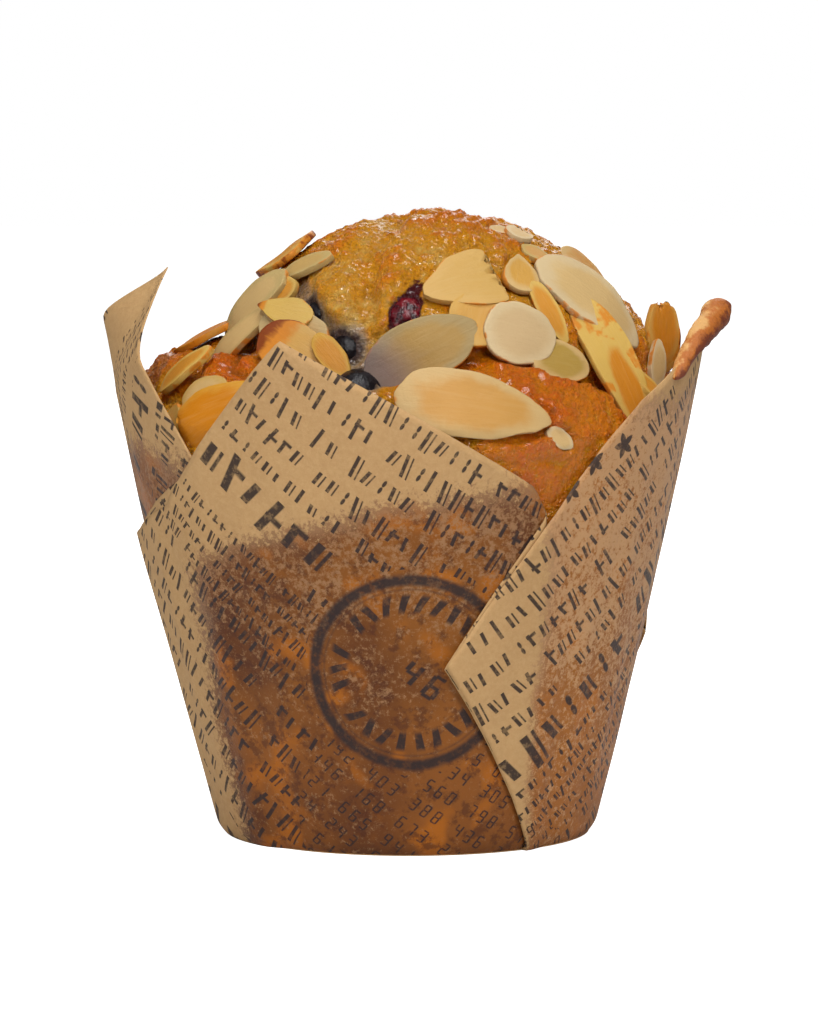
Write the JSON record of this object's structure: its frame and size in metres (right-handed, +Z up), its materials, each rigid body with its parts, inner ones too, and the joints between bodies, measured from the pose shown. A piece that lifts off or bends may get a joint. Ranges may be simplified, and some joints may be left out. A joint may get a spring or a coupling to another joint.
{
  "type": "muffin",
  "caption": "Domed muffin with flaked almonds and dark berries in a folded tulip-shaped paper case.",
  "frame": {"origin": "middle of the flat underside", "axes": "+Z up, +X to the right and -Y to the front, where the paper's front petal stands"},
  "size_m": [0.0846, 0.0802, 0.0846],
  "materials": {
    "crust": "baked crumb, lightly glazed",
    "greaseproof_paper": "unbleached greaseproof paper with dark print and grease marks",
    "browned_batter": "baked crumb, browned",
    "pale_almond": "sliced almond, pale",
    "toasted_almond": "sliced almond, toasted",
    "dark_berry": "baked berry skin",
    "red_juice": "burst berry and juice"
  },
  "bodies": {
    "root": {"crumb_body": "crust", "paper_case": "greaseproof_paper", "crust_drip": "browned_batter", "almond_oval_grey": "pale_almond", "almond_oval_front": "pale_almond", "almond_chip_front": "pale_almond", "almond_triangle_dome": "pale_almond", "almond_patch_dome": "pale_almond", "almond_pale_round": "pale_almond", "almond_pale_under": "pale_almond", "almond_long_crossing": "pale_almond", "almond_wide_white": "pale_almond", "almond_orange_edged": "toasted_almond", "almond_sliver_standing": "pale_almond", "almond_wedge_top": "pale_almond", "almond_chunk_top": "pale_almond", "almond_chip_top": "pale_almond", "almond_chip_side": "pale_almond", "almond_orange_right": "toasted_almond", "almond_pale_right": "pale_almond", "almond_pale_behind": "pale_almond", "almond_slab_left": "pale_almond", "almond_strip_left": "pale_almond", "almond_chunk_left": "pale_almond", "almond_double_upper": "pale_almond", "almond_double_lower": "pale_almond", "almond_brown_tip": "toasted_almond", "almond_pale_wide": "pale_almond", "almond_browned_behind": "toasted_almond", "almond_yellow_small": "pale_almond", "almond_shoulder_slab": "pale_almond", "almond_shoulder_strip": "pale_almond", "almond_wavy_pale": "pale_almond", "almond_orange_large": "toasted_almond", "almond_upright_left": "pale_almond", "almond_back_long": "pale_almond", "almond_back_crossing": "pale_almond", "almond_back_middle": "pale_almond", "almond_back_low": "pale_almond", "almond_back_left": "pale_almond", "almond_back_right": "pale_almond", "almond_back_top": "pale_almond", "berry_front_dark": "dark_berry", "berry_left_dark": "dark_berry", "berry_seam_dark": "dark_berry", "berry_burst_red": "red_juice", "berry_back_dark": "dark_berry"}
  },
  "joints": []
}
